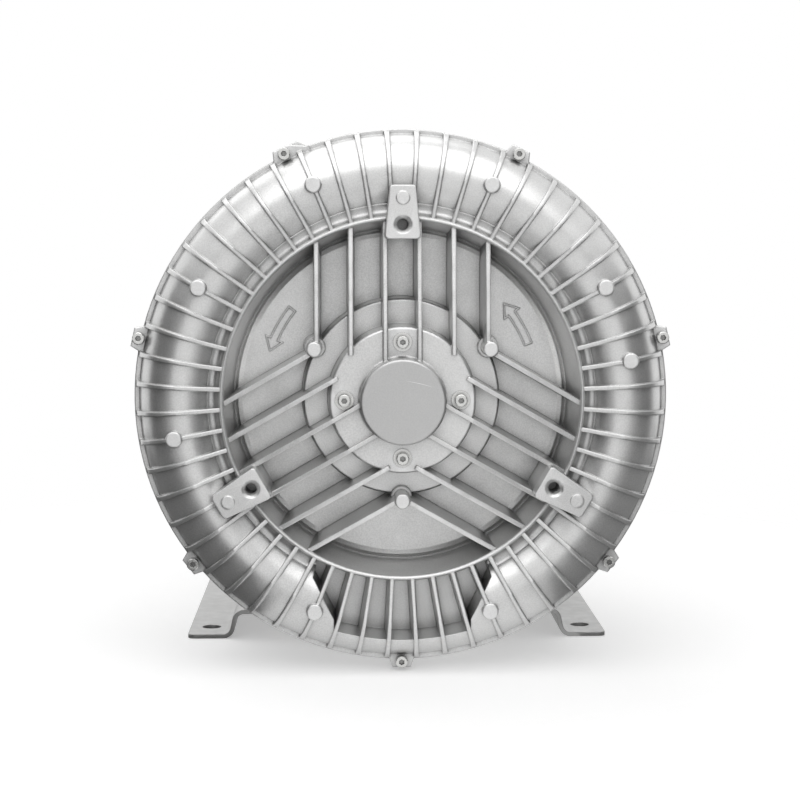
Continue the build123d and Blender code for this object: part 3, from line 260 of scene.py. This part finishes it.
# Scratch on the cover's nose: one thin, slightly bent mark through the skin to bare
# aluminium, widest in its middle. It lies on the face as a sliver 0.02 mm proud.
bare_metal, nodes, links = new_finish("scratch_metal")
shader = nodes["Principled BSDF"]
shader.inputs["Metallic"].default_value = 1.0
shader.inputs["Base Color"].default_value = (0.86, 0.86, 0.86, 1.0)
shader.inputs["Roughness"].default_value = 0.45
scratch_lift = 0.00002
scratch_half_width = 0.00016
scratch_bend = 0.0005
scratch_from = (axis_x + 0.0012, axis_z + 0.0146)
scratch_to = (axis_x + 0.0208, axis_z + 0.0100)
scratch_steps = 12
points, faces = [], []
for n in range(scratch_steps + 1):
    share = n / scratch_steps
    half = scratch_half_width * math.sin(math.pi * min(max(share, 0.02), 0.98))
    x = scratch_from[0] + (scratch_to[0] - scratch_from[0]) * share
    z = scratch_from[1] + (scratch_to[1] - scratch_from[1]) * share
    z += scratch_bend * math.sin(math.pi * share)
    points += [(x, nose_front - scratch_lift, z - half), (x, nose_front - scratch_lift, z + half)]
    if n:
        faces.append((2 * n - 2, 2 * n, 2 * n + 1, 2 * n - 1))
scratch = cast_piece("nose_scratch", points, faces)
scratch.data.materials.clear()
scratch.data.materials.append(bare_metal)

# Tapped threads: M10 in the three pads of the cover, and a pipe thread in each
# port, cut into the castings. Each is one ridge wound round its hole, with its root
# just inside the wall.
def thread(name, radius, height, pitch, mouth, length):
    """Ridge wound inside a hole that runs along Y, from its mouth inwards."""
    steps_per_turn = 36
    steps = int(abs(length) / pitch * steps_per_turn)
    root = radius + 0.00003
    half_ridge = 0.5 * pitch * 0.9
    points, faces = [], []
    for n in range(steps + 1):
        turn = 2 * math.pi * n / steps_per_turn
        along = length * n / steps
        for r, shift in ((root, -half_ridge), (radius - height, 0.0), (root, half_ridge)):
            points.append((mouth[0] + r * math.cos(turn), mouth[1] + along + shift,
                           mouth[2] + r * math.sin(turn)))
        if n:
            a, b = 3 * n - 3, 3 * n
            faces += [(a, a + 1, b + 1, b), (a + 1, a + 2, b + 2, b + 1), (a + 2, a, b, b + 2)]
    faces += [(0, 2, 1), (3 * steps, 3 * steps + 1, 3 * steps + 2)]
    cast_piece(name, points, faces)


pad_circle = 0.120
pad_face = 0.042
pad_inset = 0.003
pad_drill = 0.00425
pad_thread_height = 0.00045
pad_pitch = 0.0015
pad_thread_length = 0.019
for number, angle in enumerate((90, 210, 330), 1):
    mouth = on_cover(pad_circle, angle, pad_face - pad_inset)
    thread(f"pad_thread_{number}", pad_drill, pad_thread_height, pad_pitch, mouth, pad_thread_length)
port_inset = 0.0015
port_bore = 0.02835
port_thread_height = 0.0009
port_pitch = 0.00231
port_thread_length = 0.021
for side in ("left", "right"):
    low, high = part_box("port_flange_" + side)
    mouth = ((low.x + high.x) / 2, high.y - port_inset, (low.z + high.z) / 2)
    thread("port_thread_" + side, port_bore, port_thread_height, port_pitch, mouth, -port_thread_length)

# Impeller and bearing retainer: aluminium, turned all over. The tool leaves fine
# rings about the shaft's axis.
machined_aluminium, nodes, links = new_finish("machined_aluminium")
shader = nodes["Principled BSDF"]
shader.inputs["Metallic"].default_value = 1.0
shader.inputs["Base Color"].default_value = (0.60, 0.60, 0.60, 1.0)
links.new(spread(nodes, links, texture(nodes, links, 300.0, 3.0), 0.24, 0.38), shader.inputs["Roughness"])
relief(nodes, links, shader, 0.0004, (texture(nodes, links, 600.0, 2.0), 0.00002))
dress(machined_aluminium, "impeller", "bearing_retainer")

# Shaft: ground steel bar, bright and close to a mirror along its journals.
shaft_steel, nodes, links = new_finish("shaft_steel")
shader = nodes["Principled BSDF"]
shader.inputs["Metallic"].default_value = 1.0
shader.inputs["Base Color"].default_value = (0.52, 0.52, 0.53, 1.0)
rings = texture(nodes, links, 500.0, 2.0, (0.1, 4, 0.1))
links.new(spread(nodes, links, rings, 0.15, 0.28), shader.inputs["Roughness"])
relief(nodes, links, shader, 0.0003, (texture(nodes, links, 1800.0, 1.0, (0.1, 1, 0.1)), 0.00001))
dress(shaft_steel, "rotor_shaft")

# Iron of the motor: thin varnished sheets stacked along the shaft, seen as fine
# dark and light lines.
lamination_steel, nodes, links = new_finish("lamination_steel")
shader = nodes["Principled BSDF"]
shader.inputs["Metallic"].default_value = 0.8
stack = spread(nodes, links, texture(nodes, links, 900.0, 1.0, (0.02, 1, 0.02)), 0.0, 1.0)
links.new(tinted(nodes, links, stack, (0.16, 0.16, 0.17), (0.34, 0.34, 0.35)), shader.inputs["Base Color"])
shader.inputs["Roughness"].default_value = 0.5
relief(nodes, links, shader, 0.0003, (stack, 0.00004))
dress(lamination_steel, "stator_core", "rotor_core")

# Windings: enamelled copper wire, dipped in varnish.
winding_copper, nodes, links = new_finish("winding_copper")
shader = nodes["Principled BSDF"]
shader.inputs["Metallic"].default_value = 0.9
strands = spread(nodes, links, texture(nodes, links, 700.0, 2.0, (1, 0.15, 1)), 0.0, 1.0)
links.new(tinted(nodes, links, strands, (0.38, 0.14, 0.05), (0.62, 0.28, 0.12)),
          shader.inputs["Base Color"])
shader.inputs["Roughness"].default_value = 0.3
relief(nodes, links, shader, 0.0005, (strands, 0.0003))
dress(winding_copper, "stator_windings")

# Seals and gaskets: black nitrile rubber, moulded, with a dull skin.
seal_rubber, nodes, links = new_finish("seal_rubber")
shader = nodes["Principled BSDF"]
dust = spread(nodes, links, texture(nodes, links, 60.0, 4.0), 0.0, 1.0)
links.new(tinted(nodes, links, dust, (0.012, 0.012, 0.012), (0.03, 0.03, 0.03)), shader.inputs["Base Color"])
links.new(spread(nodes, links, texture(nodes, links, 400.0, 3.0), 0.55, 0.75), shader.inputs["Roughness"])
relief(nodes, links, shader, 0.0003, (texture(nodes, links, 1500.0), 0.00004))
dress(seal_rubber, "cover_seal", "front_shaft_seal", "rear_shaft_seal", "port_gasket_left",
      "port_gasket_right", "terminal_box_gasket")

# Silencer foam: open-cell sleeve in each tube, charcoal grey with round pores, which are painted darker as
# the shade inside them.
silencer_foam, nodes, links = new_finish("silencer_foam")
shader = nodes["Principled BSDF"]
place = nodes.new("ShaderNodeTexCoord")
pores = nodes.new("ShaderNodeTexVoronoi")
pores.inputs["Scale"].default_value = 500.0
links.new(place.outputs["Object"], pores.inputs["Vector"])
# Painted shade: the pores are darker in the colour, as the shade inside them; the same pattern gives their
# relief.
depth = spread(nodes, links, pores.outputs["Distance"], 0.0, 1.0, (0.1, 0.6))
links.new(tinted(nodes, links, depth, (0.01, 0.01, 0.01), (0.09, 0.09, 0.095)), shader.inputs["Base Color"])
shader.inputs["Roughness"].default_value = 0.95
relief(nodes, links, shader, 0.0005, (depth, 0.0008))
dress(silencer_foam, "silencer_foam_left", "silencer_foam_right")

# Fan, terminal block, gland and plug: black glass-filled nylon, moulded.
black_plastic, nodes, links = new_finish("black_plastic")
shader = nodes["Principled BSDF"]
cloud = spread(nodes, links, texture(nodes, links, 30.0, 3.0), 0.0, 1.0)
links.new(tinted(nodes, links, cloud, (0.018, 0.018, 0.019), (0.03, 0.03, 0.031)),
          shader.inputs["Base Color"])
links.new(spread(nodes, links, texture(nodes, links, 500.0, 3.0), 0.38, 0.55), shader.inputs["Roughness"])
relief(nodes, links, shader, 0.0005, (texture(nodes, links, 1600.0), 0.00005))
dress(black_plastic, "cooling_fan", "terminal_block", "cable_gland", "blanking_plug")

# Gland insert: soft ring in the mouth of the cable gland that grips the cable.
low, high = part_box("cable_gland")
insert_circle = 0.0064
insert_radius = 0.0011
insert_sink = 0.0004
bpy.ops.mesh.primitive_torus_add(major_segments=48, minor_segments=12,
                                 major_radius=insert_circle, minor_radius=insert_radius,
                                 location=(high.x - insert_sink, (low.y + high.y) / 2, (low.z + high.z) / 2),
                                 rotation=(0.0, math.radians(90.0), 0.0))
insert = bpy.context.object
insert.name = "gland_insert"
insert.data.materials.append(seal_rubber)
bpy.ops.object.shade_smooth()
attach(insert, "blower_frame")

# Fan cowl: deep-drawn sheet steel, sprayed silver-grey to match the castings.
cowl_paint, nodes, links = new_finish("cowl_paint")
shader = nodes["Principled BSDF"]
shader.inputs["Metallic"].default_value = 0.75
cloud = spread(nodes, links, texture(nodes, links, 10.0, 3.0), 0.0, 1.0)
links.new(tinted(nodes, links, cloud, (0.42, 0.42, 0.42), (0.47, 0.47, 0.47)), shader.inputs["Base Color"])
links.new(spread(nodes, links, texture(nodes, links, 250.0, 3.0), 0.34, 0.44), shader.inputs["Roughness"])
relief(nodes, links, shader, 0.001, (texture(nodes, links, 700.0, 2.0), 0.00004))
dress(cowl_paint, "fan_cowl")

# Floor: a pale round sheet that fades into the white round it and keeps the
# blower's shadow. It is a little whiter where it is looked at, mirrored or seen
# through than where it only passes light on.
def seen_ray(nodes, links):
    """1 where a thing is looked at, mirrored or seen through, and 0 elsewhere."""
    path = nodes.new("ShaderNodeLightPath")
    first = nodes.new("ShaderNodeMath")
    first.operation = "MAXIMUM"
    links.new(path.outputs["Is Camera Ray"], first.inputs[0])
    links.new(path.outputs["Is Glossy Ray"], first.inputs[1])
    second = nodes.new("ShaderNodeMath")
    second.operation = "MAXIMUM"
    links.new(first.outputs["Value"], second.inputs[0])
    links.new(path.outputs["Is Transmission Ray"], second.inputs[1])
    return second.outputs["Value"]


floor_reach = 4.0
fade_span = (0.33, 0.70)
floor_drop = 0.0002
bpy.ops.mesh.primitive_circle_add(vertices=96, radius=floor_reach, fill_type="NGON")
floor = bpy.context.object
floor.name = "floor"
floor.location.z = -floor_drop
pale, nodes, links = new_finish("floor_white")
nodes.remove(nodes["Principled BSDF"])
surface = nodes["Material Output"]
matt = nodes.new("ShaderNodeBsdfDiffuse")
matt.inputs["Color"].default_value = (0.80, 0.80, 0.80, 1.0)
glow = nodes.new("ShaderNodeEmission")
seen_white = 0.36
dim = nodes.new("ShaderNodeMath")
dim.operation = "MULTIPLY"
dim.inputs[1].default_value = seen_white
links.new(seen_ray(nodes, links), dim.inputs[0])
links.new(dim.outputs["Value"], glow.inputs["Strength"])
both = nodes.new("ShaderNodeAddShader")
links.new(matt.outputs["BSDF"], both.inputs[0])
links.new(glow.outputs["Emission"], both.inputs[1])
clear = nodes.new("ShaderNodeBsdfTransparent")
fade = nodes.new("ShaderNodeMixShader")
place = nodes.new("ShaderNodeTexCoord")
away = nodes.new("ShaderNodeVectorMath")
away.operation = "LENGTH"
links.new(place.outputs["Object"], away.inputs[0])
links.new(spread(nodes, links, away.outputs["Value"], 0.0, 1.0, fade_span), fade.inputs["Fac"])
links.new(both.outputs["Shader"], fade.inputs[1])
links.new(clear.outputs["BSDF"], fade.inputs[2])
links.new(fade.outputs["Shader"], surface.inputs["Surface"])
floor.data.materials.append(pale)

# Light: a soft sky, white where it is looked at or mirrored, with one broad lamp
# high in front of the cover and a weaker one over the motor.
world = bpy.data.worlds.new("studio")
bpy.context.scene.world = world
world.use_nodes = True
nodes, links = world.node_tree.nodes, world.node_tree.links
lighting = nodes["Background"]
lighting.inputs["Color"].default_value = (1.0, 1.0, 1.0, 1.0)
lighting.inputs["Strength"].default_value = 0.45
seen = nodes.new("ShaderNodeBackground")
seen.inputs["Color"].default_value = (1.0, 1.0, 1.0, 1.0)
seen.inputs["Strength"].default_value = 1.0
mix = nodes.new("ShaderNodeMixShader")
links.new(seen_ray(nodes, links), mix.inputs["Fac"])
links.new(lighting.outputs["Background"], mix.inputs[1])
links.new(seen.outputs["Background"], mix.inputs[2])
links.new(mix.outputs["Shader"], nodes["World Output"].inputs["Surface"])


def lamp(name, place, target, size, power):
    """Square soft lamp, so wide and strong, that looks at a target."""
    data = bpy.data.lights.new(name, "AREA")
    data.size = size
    data.energy = power
    light = bpy.data.objects.new(name, data)
    light.location = place
    aim = Vector(target) - Vector(place)
    light.rotation_euler = aim.to_track_quat("-Z", "Y").to_euler()
    bpy.context.scene.collection.objects.link(light)


lamp("top_softbox", (0.0, -1.25, 1.9), (0.0, -0.2, 0.3), 2.3, 24.0)
lamp("back_softbox", (-0.5, 0.8, 1.8), (0.0, 0.0, 0.3), 1.8, 9.0)

# Dark boards: one standing at each side and one lying on the floor at each side. The
# camera and the floor miss them: they show in bright metal alone, as darker tones.
def board(name, place, tilt, turn, width, height, tone):
    """Matt board of a plain grey, standing or lying."""
    turned = (math.radians(tilt), 0.0, math.radians(turn))
    bpy.ops.mesh.primitive_plane_add(size=1.0, location=place, rotation=turned)
    card = bpy.context.object
    card.name = name
    card.scale = (width, height, 1.0)
    card.visible_camera = False
    card.visible_diffuse = False
    card.visible_shadow = False
    paint, nodes, links = new_finish(name + "_paint")
    shader = nodes["Principled BSDF"]
    shader.inputs["Base Color"].default_value = (tone, tone, tone, 1.0)
    shader.inputs["Roughness"].default_value = 0.9
    card.data.materials.append(paint)


board_height = 0.64
board("left_board", (-0.85, -1.25, board_height / 2), 90.0, 90.0, 2.1, board_height, 0.02)
board("right_board", (0.90, -1.20, board_height / 2), 90.0, 90.0, 2.0, board_height, 0.08)
low_width = 0.76
low_length = 1.2
low_lift = 0.0004
board("left_low_board", (-0.50, -0.3, low_lift), 0.0, 0.0, low_width, low_length, 0.03)
board("right_low_board", (0.52, -0.3, low_lift), 0.0, 0.0, low_width, low_length, 0.18)

# Camera: a little left of the shaft and above it, looking slightly down.
camera_data = bpy.data.cameras.new("camera")
camera_data.sensor_width = 36.0
camera_data.lens = 81.45
camera = bpy.data.objects.new("camera", camera_data)
camera.location = (-0.0389, -1.496, 0.3025)
look_down = 5.03
look_right = 1.72
camera.rotation_euler = (math.radians(90.0 - look_down), 0.0, math.radians(-look_right))
bpy.context.scene.collection.objects.link(camera)
bpy.context.scene.camera = camera
bpy.context.scene.view_settings.view_transform = "Standard"
